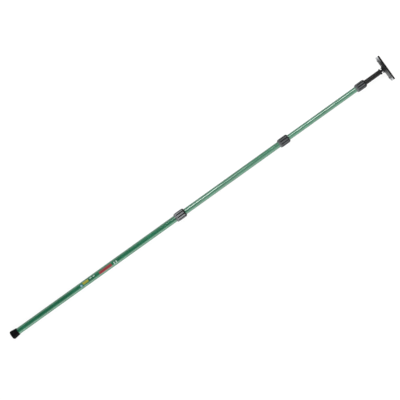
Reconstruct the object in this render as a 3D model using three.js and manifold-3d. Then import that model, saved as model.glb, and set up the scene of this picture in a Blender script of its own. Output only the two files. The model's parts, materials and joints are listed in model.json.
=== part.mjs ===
// Telescopic pole drywall sander: a four-section pole with twist-locks and a pivoting flat head.
// Millimetres. The pole's axis is the X axis, the foot cap's flat end is at x = 0 and the sanding
// face looks along +X. +Z is up as the pole lies on a surface; the head plate is long in Y.

import * as THREE from "three";
import { mergeVertices } from "three/addons/utils/BufferGeometryUtils.js";
import Module from "manifold-3d";

const wasm = await Module();
wasm.setup();

// ---------------------------------------------------------------- driving dimensions

const SIDES = 28; // facets of every round pole piece
const SMALL_SIDES = 12; // facets of pins, screws and their holes
const WALL = 1.0; // wall of each tube
const FIT = 0.3; // radial gap between a piece and what it sits in or on
const STACK_GAP = 0.1; // gap between layers that are glued or screwed flat together

// outer radius, inner (hidden) end and outer end of each tube
const LOWER = { r: 14.0, from: 4.0, to: 867.3 };
const SECOND = { r: 12.8, from: 515.0, to: 1397.6 };
const THIRD = { r: 11.6, from: 925.0, to: 1792.5 };
const TIP = { r: 10.4, from: 1060.0, to: 1887.8 };

// start, length and outer radius of each twist-lock, and the turn of its grip ridges
const LOWER_LOCK = { at: 840.3, length: 48.5, r: 19.4, turn: 9 };
const MIDDLE_LOCK = { at: 1370.6, length: 48.8, r: 18.7, turn: 21 };
const UPPER_LOCK = { at: 1765.5, length: 47.4, r: 17.2, turn: -3 };
const TUBE_IN_LOCK = 27; // how far a tube end reaches into its lock body
const LOCK_FLANGE = 5; // thickness of the lock body's visible rear flange
const SLEEVE_WALL = 2; // wall of the lock body and of the collet's thick end
const COLLET_START = 34.3;
const COLLET_END = 44;
const GRIP = { ridges: 10, grooveR: 3.4, depth: 1.8, rearLand: 4, frontLand: 7 };

const FOOT = { length: 33.6, endR: 18.8, topR: 15.3, boreDepth: 29.6, roundX: 7, roundR: 5 };
const GUIDE_LENGTH = 25;

// head and its two-way pivot
const FLANGE = { from: 1888.2, to: 1893.0, r: 12.9 };
const YAW_X = 1898.4; // yaw axis, parallel to Z
const PITCH_X = 1905.2; // pitch axis, parallel to Y
const PIN_R = 1.5;
const PIN_HEAD_R = 2.5; // also the radius of the clip at the pin's other end
const FORK = { halfY: 5.2, inner: 4.6, outer: 8.2, crownR: 9 };
const BARREL_R = 3.8;
const HUB = { from: 1897.8, backR: 8.2, shoulderR: 10.4, midX: 1902.8, midR: 13.2, baseR: 16.6 };
const CHEEK = { inner: 6.8, outer: 12, halfZ: 9.5, spotR: 3.2 };
const BRACKET = { y: 101, z: 40, thick: 2.6, corner: 5, windowY: 6.8, windowZ: 14 };
const PLATE = { y: 118, z: 60, thick: 2.0, corner: 2.5, back: 1910.7 };
const FOAM = 5.6;
const HOOK = 0.7;
const ABRASIVE = 0.6;
const SCREW = { y: 42, z: 14, shankR: 1.9, headR: 3.8, headHeight: 1.6, holeR: 2.2 };

// ---------------------------------------------------------------- materials

const paint = (color, roughness, metalness) =>
  new THREE.MeshStandardMaterial({ color, roughness, metalness });
const greenLacquer = paint(0x3a7d5e, 0.35, 0.5);
const blackLacquer = paint(0x1c1c1c, 0.4, 0.3);
const greyPlastic = paint(0x5b5d5f, 0.55, 0.0);
const blackRubber = paint(0x141416, 0.8, 0.0);
const innerPlastic = paint(0xb8b8b2, 0.5, 0.0);
const blackSteel = paint(0x26272a, 0.45, 0.6);
const zincSteel = paint(0xb5b8bb, 0.35, 0.9);
const greyAluminium = paint(0xaeb0b2, 0.45, 0.7);
const darkFoam = paint(0x2b2c2e, 0.95, 0.0);
const hookFabric = paint(0x1b1b1d, 1.0, 0.0);
const abrasiveGrit = paint(0x4a4338, 1.0, 0.0);

// ---------------------------------------------------------------- geometry helpers

// A closed three.js geometry as a solid: vertices merged, collapsed triangles dropped.
function solid(geometry) {
  const bare = geometry.clone();
  bare.deleteAttribute("normal");
  bare.deleteAttribute("uv");
  const merged = mergeVertices(bare, 1e-4);
  const index = merged.index.array;
  const kept = [];
  for (let i = 0; i < index.length; i += 3) {
    const [a, b, c] = index.subarray(i, i + 3);
    if (a !== b && b !== c && c !== a) kept.push(a, b, c);
  }
  return new wasm.Manifold(
    new wasm.Mesh({
      numProp: 3,
      vertProperties: new Float32Array(merged.attributes.position.array),
      triVerts: new Uint32Array(kept),
    }),
  );
}

// A solid back as a three.js geometry.
function geometryOf(body) {
  const mesh = body.getMesh();
  const geometry = new THREE.BufferGeometry();
  geometry.setAttribute("position", new THREE.BufferAttribute(mesh.vertProperties, 3));
  geometry.setIndex(new THREE.BufferAttribute(mesh.triVerts, 1));
  geometry.computeVertexNormals();
  return geometry;
}

// Revolves [x, radius] points about the X axis. The outline runs towards +X on its outer side;
// a ring's outline returns towards -X on the inside and closes on its first point.
function turned(outline, sides = SIDES) {
  const points = outline.map(([x, radius]) => new THREE.Vector2(radius, x));
  const lathe = new THREE.LatheGeometry(points, sides);
  lathe.rotateZ(-Math.PI / 2);
  return solid(lathe);
}

function ring(outline, sides = SIDES) {
  return turned([...outline, outline[0]], sides);
}

function tube(from, to, outerR, innerR) {
  return ring([
    [from, innerR],
    [from, outerR],
    [to, outerR],
    [to, innerR],
  ]);
}

// A cylinder about a line parallel to "x", "y" or "z" through the centre given.
function rod(axis, radius, length, [x, y, z], sides = SMALL_SIDES) {
  const cylinder = new THREE.CylinderGeometry(radius, radius, length, sides);
  if (axis === "x") cylinder.rotateZ(-Math.PI / 2);
  if (axis === "z") cylinder.rotateX(Math.PI / 2);
  cylinder.translate(x, y, z);
  return solid(cylinder);
}

function block([x0, y0, z0], [x1, y1, z1]) {
  const box = new THREE.BoxGeometry(x1 - x0, y1 - y0, z1 - z0);
  box.translate((x0 + x1) / 2, (y0 + y1) / 2, (z0 + z1) / 2);
  return solid(box);
}

// A flat plate with rounded corners, square to the pole, from x along +X.
function plate(x, thick, sizeY, sizeZ, corner) {
  const y = sizeY / 2;
  const z = sizeZ / 2;
  const outline = new THREE.Shape();
  outline.moveTo(-y + corner, -z);
  outline.lineTo(y - corner, -z);
  outline.absarc(y - corner, -z + corner, corner, -Math.PI / 2, 0, false);
  outline.lineTo(y, z - corner);
  outline.absarc(y - corner, z - corner, corner, 0, Math.PI / 2, false);
  outline.lineTo(-y + corner, z);
  outline.absarc(-y + corner, z - corner, corner, Math.PI / 2, Math.PI, false);
  outline.lineTo(-y, -z + corner);
  outline.absarc(-y + corner, -z + corner, corner, Math.PI, Math.PI * 1.5, false);
  const body = new THREE.ExtrudeGeometry(outline, {
    depth: thick,
    bevelEnabled: false,
    curveSegments: 3,
  });
  body.rotateX(Math.PI / 2);
  body.rotateZ(Math.PI / 2);
  body.translate(x, 0, 0);
  return solid(body);
}

const pole = new THREE.Group();

function add(name, body, material) {
  const mesh = new THREE.Mesh(geometryOf(body), material);
  mesh.name = name;
  pole.add(mesh);
}

// ---------------------------------------------------------------- foot

function footCap() {
  const { length, endR, topR, boreDepth, roundX, roundR } = FOOT;
  const bore = LOWER.r + FIT;
  const base = length - boreDepth;
  const outline = [[0, 0]];
  for (let i = 0; i <= 4; i++) {
    const a = (i / 4) * (Math.PI / 2);
    outline.push([roundX * (1 - Math.cos(a)), endR - roundR + roundR * Math.sin(a)]);
  }
  outline.push([roundX + 2.5, endR - 0.1]);
  outline.push([length - 1, topR + 0.2]);
  outline.push([length, topR - 0.5]);
  outline.push([length, bore]);
  outline.push([base, bore]);
  outline.push([base, 0]);
  return turned(outline);
}

// Closes the tube's end above the cap's floor, with a hollow for the moulding's wall.
function footPlug() {
  const start = FOOT.length - FOOT.boreDepth + FIT;
  const r = LOWER.r - WALL - FIT;
  return turned([
    [start, 0],
    [start, r],
    [start + 30, r],
    [start + 31, r - 1],
    [start + 31, r - 3.5],
    [start + 6, r - 3.5],
    [start + 6, 0],
  ]);
}

// ---------------------------------------------------------------- tubes and their guides

const poleTube = ({ r, from, to }) => tube(from, to, r, r - WALL);

// A bush pressed over the hidden end of a sliding tube: it runs in the bore of the outer tube.
// It plugs the tube's mouth with a stem, and its shoulder is as wide as the outer tube allows.
function guideBush(inner, outer) {
  const stemR = inner.r - WALL - FIT;
  const runR = outer.r - WALL - FIT / 2;
  const shoulder = 8;
  const start = inner.from - shoulder - FIT;
  const boreR = stemR - 2;
  return ring([
    [start, boreR],
    [start, runR - 0.8],
    [start + 0.8, runR],
    [start + shoulder, runR],
    [start + shoulder, stemR],
    [start + shoulder + GUIDE_LENGTH - 8, stemR],
    [start + shoulder + GUIDE_LENGTH - 8, boreR],
  ]);
}

// ---------------------------------------------------------------- twist-locks

// Fixed half: a flange and a sleeve over the end of the outer tube, necked to the inner tube.
function lockBody(lock, outer, inner) {
  const { at, r } = lock;
  const bore = outer.r + FIT;
  const neck = inner.r + FIT;
  const sleeve = bore + SLEEVE_WALL;
  const stop = at + TUBE_IN_LOCK + FIT;
  return ring([
    [at, bore],
    [at, r - 3.0],
    [at + 1.8, r - 1.2],
    [at + LOCK_FLANGE, r - 1.2],
    [at + LOCK_FLANGE, sleeve],
    [at + COLLET_START - FIT, sleeve],
    [at + COLLET_START - FIT, neck],
    [stop, neck],
    [stop, bore],
  ]);
}

// Split ring that the collar's cone closes on the inner tube.
function collet(lock, outer, inner) {
  const thickR = outer.r + FIT + SLEEVE_WALL;
  const thinR = inner.r + 1.8;
  const bore = inner.r + FIT;
  const x0 = lock.at + COLLET_START;
  const x1 = lock.at + COLLET_END;
  const taper = ring([
    [x0, bore],
    [x0, thickR],
    [x0 + 2, thickR],
    [x1, thinR],
    [x1, bore],
  ]);
  const slit = block([x0 - 1, -1.2, 0], [x1 + 1, 1.2, thickR + 1]);
  return taper.subtract(slit);
}

// Turning half: a ridged grip round the lock body, coned inside over the collet.
function twistCollar(lock, outer, inner) {
  const { at, length, r, turn } = lock;
  const sleeve = outer.r + 2 * FIT + SLEEVE_WALL;
  const thinR = inner.r + 1.8 + FIT;
  const front = inner.r + 2 * FIT;
  const start = at + LOCK_FLANGE + FIT;
  const end = at + length;
  const body = ring([
    [start, sleeve],
    [start, r - 0.8],
    [start + 0.8, r],
    [end - 7, r],
    [end - 3.5, r - 1.5],
    [end - 1, r - 3.4],
    [end, r - 4.4],
    [end, front],
    [at + COLLET_END + FIT, front],
    [at + COLLET_END + FIT, thinR],
    [at + COLLET_START + 2 + FIT, sleeve],
  ]);
  const grooveStart = start + GRIP.rearLand;
  const grooveEnd = end - GRIP.frontLand;
  const middle = (grooveStart + grooveEnd) / 2;
  const lift = r + GRIP.grooveR - GRIP.depth;
  const grooves = [];
  for (let i = 0; i < GRIP.ridges; i++) {
    const a = THREE.MathUtils.degToRad(turn + (i * 360) / GRIP.ridges);
    const centre = [middle, -lift * Math.sin(a), lift * Math.cos(a)];
    grooves.push(rod("x", GRIP.grooveR, grooveEnd - grooveStart, centre, 10));
  }
  return grooves.reduce((left, groove) => left.subtract(groove), body);
}

// ---------------------------------------------------------------- head pivot

// Plug in the end of the tip tube: stem, thin flange, and a fork whose two ears hold the yaw pin.
function tipEndPlug() {
  const stemR = TIP.r - WALL - FIT;
  const stem = turned([
    [TIP.to - 40, 0],
    [TIP.to - 40, stemR - 1],
    [TIP.to - 39, stemR],
    [FLANGE.from, stemR],
    [FLANGE.from, FLANGE.r],
    [FLANGE.to - 0.8, FLANGE.r],
    [FLANGE.to, FLANGE.r - 0.8],
    [FLANGE.to, 0],
  ]);
  const { halfY, inner, outer, crownR } = FORK;
  const root = FLANGE.to - 1;
  const crown = rod("x", crownR, 20, [root + 10, 0, 0], SIDES);
  const ears = [-1, 1].map((side) => {
    const low = Math.min(side * inner, side * outer);
    const high = Math.max(side * inner, side * outer);
    const arm = block([root, -halfY, low], [YAW_X, halfY, high]);
    const round = rod("z", halfY, high - low, [YAW_X, 0, (low + high) / 2], 20);
    return arm.add(round).intersect(crown);
  });
  const bore = rod("z", PIN_R + 0.2, 2 * outer + 2, [YAW_X, 0, 0]);
  return stem.add(ears[0]).add(ears[1]).subtract(bore);
}

// Pin with a domed head at one end and a groove for its clip at the other.
function pin(axis, reach, place) {
  const head = 1.4;
  const groove = 0.5;
  const body = turned(
    [
      [-reach - 1.9, 0],
      [-reach - 1.9, PIN_R - 0.3],
      [-reach - 1.6, PIN_R],
      [-reach - 1.0, PIN_R],
      [-reach - 1.0, PIN_R - groove],
      [-reach - 0.2, PIN_R - groove],
      [-reach - 0.2, PIN_R],
      [reach + 0.2, PIN_R],
      [reach + 0.2, PIN_HEAD_R],
      [reach + 0.6, PIN_HEAD_R],
      [reach + 0.2 + head, PIN_R],
      [reach + 0.2 + head, 0],
    ],
    SMALL_SIDES,
  );
  return placed(body, axis, place);
}

// Round clip in the pin's groove, open on one side.
function pinClip(axis, reach, place) {
  const inner = PIN_R - 0.35;
  const washer = ring(
    [
      [-reach - 0.9, inner],
      [-reach - 0.9, PIN_HEAD_R],
      [-reach - 0.3, PIN_HEAD_R],
      [-reach - 0.3, inner],
    ],
    SMALL_SIDES,
  );
  const mouth = block([-reach - 1, 0, -0.7], [-reach, 4, 0.7]);
  return placed(washer.subtract(mouth), axis, place);
}

// Turns a solid made along X so that it runs along Y or Z, and moves it to its place.
function placed(body, axis, place) {
  const turn = { x: [0, 0, 0], y: [0, 0, 90], z: [0, -90, 0] }[axis];
  return body.rotate(turn).translate(place);
}

// Swivel block: a tongue between the fork's ears on the yaw pin, and a cross barrel on the pitch pin.
function swivelBlock() {
  const tongueZ = FORK.inner - FIT;
  const tongueY = FORK.halfY - 0.2;
  const round = rod("z", tongueY, 2 * tongueZ, [YAW_X, 0, 0], 20);
  const web = block([YAW_X, -tongueY, -BARREL_R], [PITCH_X, tongueY, BARREL_R]);
  const barrel = rod("y", BARREL_R, 2 * (CHEEK.inner - FIT), [PITCH_X, 0, 0], 20);
  const yawBore = rod("z", PIN_R + 0.2, 30, [YAW_X, 0, 0]);
  const pitchBore = rod("y", PIN_R + 0.2, 30, [PITCH_X, 0, 0]);
  return round.add(web).add(barrel).subtract(yawBore).subtract(pitchBore);
}

// ---------------------------------------------------------------- head

const SCREW_PLACES = [
  [SCREW.y, SCREW.z],
  [-SCREW.y, SCREW.z],
  [-SCREW.y, -SCREW.z],
  [SCREW.y, -SCREW.z],
];
const BRACKET_BACK = PLATE.back - STACK_GAP - BRACKET.thick;

// Conical hub with flats above and below. A slot for the pivot splits it into two cheeks, each
// spot-faced round the pitch axis for the pin's head or clip.
function hubCheeks() {
  const { from, backR, shoulderR, midX, midR, baseR } = HUB;
  const base = BRACKET_BACK + 1;
  const cone = turned([
    [from, 0],
    [from, backR],
    [from + 1.2, shoulderR],
    [midX, midR],
    [base, baseR],
    [base, 0],
  ]);
  const flats = block([from - 1, -baseR, -CHEEK.halfZ], [base + 1, baseR, CHEEK.halfZ]);
  const slot = block([from - 1, -CHEEK.inner, -baseR], [base + 1, CHEEK.inner, baseR]);
  const spots = [-1, 1].map((side) =>
    rod("y", CHEEK.spotR, 12, [PITCH_X, side * (CHEEK.outer + 6), 0], 20),
  );
  return cone.intersect(flats).subtract(slot).subtract(spots[0]).subtract(spots[1]);
}

// Flat bracket with the hub's cheeks on its back and a window between them for the pivot.
function headBracket() {
  const { y, z, thick, corner, windowY, windowZ } = BRACKET;
  const window = block(
    [BRACKET_BACK - 6, -windowY, -windowZ],
    [BRACKET_BACK + 6, windowY, windowZ],
  );
  const bore = rod("y", PIN_R + 0.2, 2 * CHEEK.outer + 2, [PITCH_X, 0, 0]);
  let body = plate(BRACKET_BACK, thick, y, z, corner).add(hubCheeks());
  body = body.subtract(window).subtract(bore);
  for (const [sy, sz] of SCREW_PLACES) {
    body = body.subtract(rod("x", SCREW.holeR, 12, [BRACKET_BACK, sy, sz]));
  }
  return body;
}

function backingPlate() {
  let body = plate(PLATE.back, PLATE.thick, PLATE.y, PLATE.z, PLATE.corner);
  for (const [sy, sz] of SCREW_PLACES) {
    body = body.subtract(rod("x", SCREW.holeR, 12, [PLATE.back, sy, sz]));
  }
  return body;
}

// Low round head on the bracket's back, shank through bracket and plate.
function bracketScrew([sy, sz]) {
  const seat = BRACKET_BACK - STACK_GAP;
  const body = turned(
    [
      [seat - SCREW.headHeight, 0],
      [seat - SCREW.headHeight, SCREW.headR - 1.2],
      [seat - SCREW.headHeight / 2, SCREW.headR - 0.2],
      [seat, SCREW.headR],
      [seat, SCREW.shankR],
      [PLATE.back + PLATE.thick, SCREW.shankR],
      [PLATE.back + PLATE.thick, 0],
    ],
    SMALL_SIDES,
  );
  return body.translate([0, sy, sz]);
}

// ---------------------------------------------------------------- assembly

add("foot_cap", footCap(), blackRubber);
add("foot_plug", footPlug(), innerPlastic);
add("lower_tube", poleTube(LOWER), greenLacquer);
add("second_tube", poleTube(SECOND), greenLacquer);
add("third_tube", poleTube(THIRD), greenLacquer);
add("tip_tube", poleTube(TIP), blackLacquer);
add("second_guide_bush", guideBush(SECOND, LOWER), innerPlastic);
add("third_guide_bush", guideBush(THIRD, SECOND), innerPlastic);
add("tip_guide_bush", guideBush(TIP, THIRD), innerPlastic);

const LOCKS = [
  ["lower", LOWER_LOCK, LOWER, SECOND],
  ["middle", MIDDLE_LOCK, SECOND, THIRD],
  ["upper", UPPER_LOCK, THIRD, TIP],
];
for (const [name, lock, outer, inner] of LOCKS) {
  add(`${name}_lock_body`, lockBody(lock, outer, inner), greyPlastic);
  add(`${name}_collet`, collet(lock, outer, inner), innerPlastic);
  add(`${name}_twist_collar`, twistCollar(lock, outer, inner), greyPlastic);
}

add("tip_end_plug", tipEndPlug(), blackSteel);
add("yaw_pin", pin("z", FORK.outer, [YAW_X, 0, 0]), zincSteel);
add("yaw_pin_clip", pinClip("z", FORK.outer, [YAW_X, 0, 0]), zincSteel);
add("swivel_block", swivelBlock(), blackSteel);
add("pitch_pin", pin("y", CHEEK.outer, [PITCH_X, 0, 0]), zincSteel);
add("pitch_pin_clip", pinClip("y", CHEEK.outer, [PITCH_X, 0, 0]), zincSteel);

add("head_bracket", headBracket(), blackSteel);
SCREW_PLACES.forEach((place, i) => {
  add(`bracket_screw_${i + 1}`, bracketScrew(place), zincSteel);
});
add("backing_plate", backingPlate(), greyAluminium);

const FOAM_BACK = PLATE.back + PLATE.thick + STACK_GAP;
const HOOK_BACK = FOAM_BACK + FOAM + STACK_GAP;
const ABRASIVE_BACK = HOOK_BACK + HOOK + STACK_GAP;
add("foam_pad", plate(FOAM_BACK, FOAM, PLATE.y, PLATE.z, PLATE.corner), darkFoam);
add("hook_layer", plate(HOOK_BACK, HOOK, PLATE.y - 2, PLATE.z - 2, PLATE.corner), hookFabric);
add("abrasive_sheet", plate(ABRASIVE_BACK, ABRASIVE, PLATE.y, PLATE.z, PLATE.corner), abrasiveGrit);

export default pole;
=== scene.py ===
import json
import math

import bmesh
import bpy
from mathutils import Matrix, Vector, noise


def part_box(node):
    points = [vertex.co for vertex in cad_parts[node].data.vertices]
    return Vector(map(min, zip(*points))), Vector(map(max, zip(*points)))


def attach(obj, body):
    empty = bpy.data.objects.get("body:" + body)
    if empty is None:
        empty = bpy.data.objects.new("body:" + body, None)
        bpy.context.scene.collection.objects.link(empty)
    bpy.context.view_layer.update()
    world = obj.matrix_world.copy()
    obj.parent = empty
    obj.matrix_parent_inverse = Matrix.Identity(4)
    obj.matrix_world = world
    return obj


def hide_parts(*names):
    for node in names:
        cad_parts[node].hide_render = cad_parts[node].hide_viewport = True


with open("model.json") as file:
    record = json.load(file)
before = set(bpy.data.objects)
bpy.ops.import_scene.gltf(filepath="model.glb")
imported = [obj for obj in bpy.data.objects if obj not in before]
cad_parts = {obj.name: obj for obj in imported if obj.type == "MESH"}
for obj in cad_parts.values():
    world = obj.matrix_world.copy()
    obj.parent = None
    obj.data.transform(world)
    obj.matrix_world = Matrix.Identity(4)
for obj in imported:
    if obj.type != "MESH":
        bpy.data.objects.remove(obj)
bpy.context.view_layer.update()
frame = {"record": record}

# A telescopic pole drywall sander lying on a white floor, seen from straight above.
# Shapes are worked out in millimetres, as the frame is, and stored in metres.
# An angle round the pole is measured from +Z towards -Y.

MM = 0.001
BODY_OF = {
    node: body
    for body, nodes in frame["record"]["behaviour"]["bodies"].items()
    for node in nodes
}


def low(node):
    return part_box(node)[0] / MM


def high(node):
    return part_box(node)[1] / MM


def radius(node):
    return high(node).z


# ------------------------------------------------------------------ sizes not in the frame, mm

WALL = 1.0  # of every tube
FIT = 0.3  # running gap between two parts

FOOT_ROUND = (7.0, 5.0)  # the foot cap's rounded end, along the pole and across it
END_RINGS = (4.6, 10.2)  # inner radii of the two ring grooves in its end face
RING_DEPTH = 0.7
SEAM_HEIGHT = 0.12

TUBE_IN_LOCK = 27  # how far a lock goes over the outer tube
LOCK_FLANGE = 5
SLEEVE_WALL = 2
COLLET_NOSE_WALL = 1.8
COLLET_SLIT = 1.2  # half of the gap in the split ring
GRIP_RIDGES = 10
GRIP_DEPTH = 1.8
GRIP_CROWN = 0.15  # how far the middle of a ridge stands up
GROOVE_HALF = 3.4
GRIP_REAR = 2.4  # plain rim behind the grip
GRIP_NOSE = 7  # coned part before it

PIN_R = 1.5
PIN_HOLE_R = PIN_R + 0.2
PIN_HEAD_R = 2.5
PIN_TAIL = 1.9  # how far a pin stands out on its clip's side
CLIP_SLOT = (0.2, 1.0)  # the clip's groove, measured out from the fork or cheek
FORK_HALF = 5.2
FORK_INNER = 4.6
FORK_OUTER = 8.2
CROWN_R = 9.0
BARREL_R = 3.8
CHEEK_INNER = 6.8
CHEEK_OUTER = 12.0
CHEEK_HALF_Z = 9.5
SPOT_R = 3.2
YAW_TO_PITCH = 6.8
YAW_TO_FLANGE = 5.4
FLANGE_THICK = 4.8

BRACKET_THICK = 2.6
STACK_GAP = 0.1
HEAD_CORNER = 2.5
SCREW_HEAD_R = 3.8
SCREW_HEAD = 1.6
SCREW_SHANK_R = 1.9
SCREW_HOLE_R = 2.2

INK_FILM = (0.01, 0.05)  # under and upper side of the print, above the tube

BEVEL_FROM = 28  # degrees between two faces

# ------------------------------------------------------------------ meshes


def finished(name, bm, crease=32):
    """The bmesh, made in mm, as an object in metres: smooth, with edges sharp beyond the crease
    and normals that follow the larger faces, so that flats stay flat."""
    bmesh.ops.remove_doubles(bm, verts=bm.verts, dist=1e-4)
    bmesh.ops.recalc_face_normals(bm, faces=bm.faces)
    bm.transform(Matrix.Scale(MM, 4))
    mesh = bpy.data.meshes.new(name)
    bm.to_mesh(mesh)
    bm.free()
    mesh.shade_smooth()
    mesh.set_sharp_from_angle(angle=math.radians(crease))
    obj = bpy.data.objects.new(name, mesh)
    bpy.context.scene.collection.objects.link(obj)
    weighted = obj.modifiers.new("weighted", "WEIGHTED_NORMAL")
    weighted.keep_sharp = True
    bpy.context.view_layer.update()
    evaluated = obj.evaluated_get(bpy.context.evaluated_depsgraph_get())
    obj.data = bpy.data.meshes.new_from_object(evaluated)
    obj.modifiers.clear()
    return obj


def rounded(corners, steps=5):
    """Corners (x, r) or (x, r, fillet) as an outline whose filleted corners are arcs."""
    closed = corners[0][1] > 0
    last = len(corners) - 1
    outline = []
    for i, (x, r, *fillet) in enumerate(corners):
        if not fillet or (not closed and i in (0, last)):
            outline.append((x, r))
            continue
        here = Vector((x, r))
        back = Vector(corners[i - 1][:2]) - here
        ahead = Vector(corners[(i + 1) % (last + 1)][:2]) - here
        reach = fillet[0] / math.tan(back.angle(ahead) / 2)
        reach = min(reach, 0.49 * back.length, 0.49 * ahead.length)
        start = here + back.normalized() * reach
        end = here + ahead.normalized() * reach
        for k in range(steps + 1):
            t = k / steps
            point = start * (1 - t) ** 2 + here * 2 * t * (1 - t) + end * t**2
            outline.append(tuple(point))
    return outline


def turned(outline, sides=96, shape=None, arc=None):
    """(x, r) points revolved about X. shape(x, r, angle) may alter a radius, and arc gives the
    first and last angle of a split ring. An outline that starts off the axis closes on itself."""
    bm = bmesh.new()
    first, last = arc or (0, 2 * math.pi)
    count = sides + 1 if arc else sides
    rings = []
    for x, r in outline:
        if r < 1e-6:
            rings.append([bm.verts.new((x, 0, 0))] * count)
            continue
        ring = []
        for i in range(count):
            a = first + (last - first) * i / sides
            at = shape(x, r, a) if shape else r
            ring.append(bm.verts.new((x, -at * math.sin(a), at * math.cos(a))))
        rings.append(ring)
    closed = outline[0][1] > 1e-6
    for k in range(len(rings) if closed else len(rings) - 1):
        here, after = rings[k], rings[(k + 1) % len(rings)]
        for i in range(sides):
            j = (i + 1) % count
            face = list(dict.fromkeys((here[i], here[j], after[j], after[i])))
            if len(face) > 2:
                bm.faces.new(face)
    if arc:
        bm.faces.new([ring[0] for ring in rings])
        bm.faces.new([ring[-1] for ring in rings])
    return bm


def circle(centre, r, first=0.0, last=360.0, steps=48):
    """Points on an arc, in degrees, without the last one if the arc is a whole turn."""
    points = []
    whole = last - first >= 360
    for k in range(steps if whole else steps + 1):
        a = math.radians(first + (last - first) * k / steps)
        points.append((centre[0] + r * math.cos(a), centre[1] + r * math.sin(a)))
    return points


def rounded_box(half_a, half_b, corner, steps=8):
    outline = []
    for k, (a, b) in enumerate(((1, 1), (-1, 1), (-1, -1), (1, -1))):
        centre = (a * (half_a - corner), b * (half_b - corner))
        outline += circle(centre, corner, 90 * k, 90 * k + 90, steps)
    return outline


def prism(outline, axis, start, end):
    """A flat outline pushed along an axis; its points are the two other axes in X, Y, Z order."""
    bm = bmesh.new()
    rows = []
    for depth in (start, end):
        points = []
        for a, b in outline:
            place = {"x": (depth, a, b), "y": (a, depth, b), "z": (a, b, depth)}[axis]
            points.append(bm.verts.new(place))
        rows.append(points)
    count = len(outline)
    for i in range(count):
        j = (i + 1) % count
        bm.faces.new((rows[0][i], rows[0][j], rows[1][j], rows[1][i]))
    bm.faces.new(rows[0])
    bm.faces.new(rows[1])
    bmesh.ops.recalc_face_normals(bm, faces=bm.faces)
    return bm


def modified(bm, setup):
    """The bmesh with the modifiers that setup(object) adds, applied."""
    mesh = bpy.data.meshes.new("scratch")
    bmesh.ops.recalc_face_normals(bm, faces=bm.faces)
    bm.to_mesh(mesh)
    bm.free()
    obj = bpy.data.objects.new("scratch", mesh)
    bpy.context.scene.collection.objects.link(obj)
    spare = setup(obj) or []
    bpy.context.view_layer.update()
    evaluated = obj.evaluated_get(bpy.context.evaluated_depsgraph_get())
    result = bmesh.new()
    result.from_mesh(evaluated.to_mesh())
    evaluated.to_mesh_clear()
    for each in [obj, *spare]:
        bpy.data.objects.remove(each)
    return result


def joined(bm, other, operation="UNION"):
    """Two solids as one, by an exact boolean: UNION or DIFFERENCE."""

    def setup(obj):
        mesh = bpy.data.meshes.new("tool")
        bmesh.ops.recalc_face_normals(other, faces=other.faces)
        other.to_mesh(mesh)
        other.free()
        tool = bpy.data.objects.new("tool", mesh)
        bpy.context.scene.collection.objects.link(tool)
        modifier = obj.modifiers.new("join", "BOOLEAN")
        modifier.operation = operation
        modifier.solver = "EXACT"
        modifier.object = tool
        return [tool]

    return modified(bm, setup)


def cut(bm, other):
    return joined(bm, other, "DIFFERENCE")


def softened(bm, width, segments=2):
    """Edges sharper than BEVEL_FROM rounded off."""

    def setup(obj):
        modifier = obj.modifiers.new("soft", "BEVEL")
        modifier.width = width
        modifier.segments = segments
        modifier.limit_method = "ANGLE"
        modifier.angle_limit = math.radians(BEVEL_FROM)
        modifier.miter_outer = "MITER_ARC"

    return modified(bm, setup)


def moved(bm, x, y=0.0, z=0.0):
    bmesh.ops.translate(bm, verts=bm.verts, vec=(x, y, z))
    return bm


def aimed(bm, axis):
    """Turns a solid made along X to run along Y or Z."""
    turn = {"y": Matrix.Rotation(math.pi / 2, 4, "Z"), "z": Matrix.Rotation(-math.pi / 2, 4, "Y")}
    bm.transform(turn[axis])
    return bm


def smooth_step(t):
    t = min(1.0, max(0.0, t))
    return t * t * (3 - 2 * t)


# ------------------------------------------------------------------ materials


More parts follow.
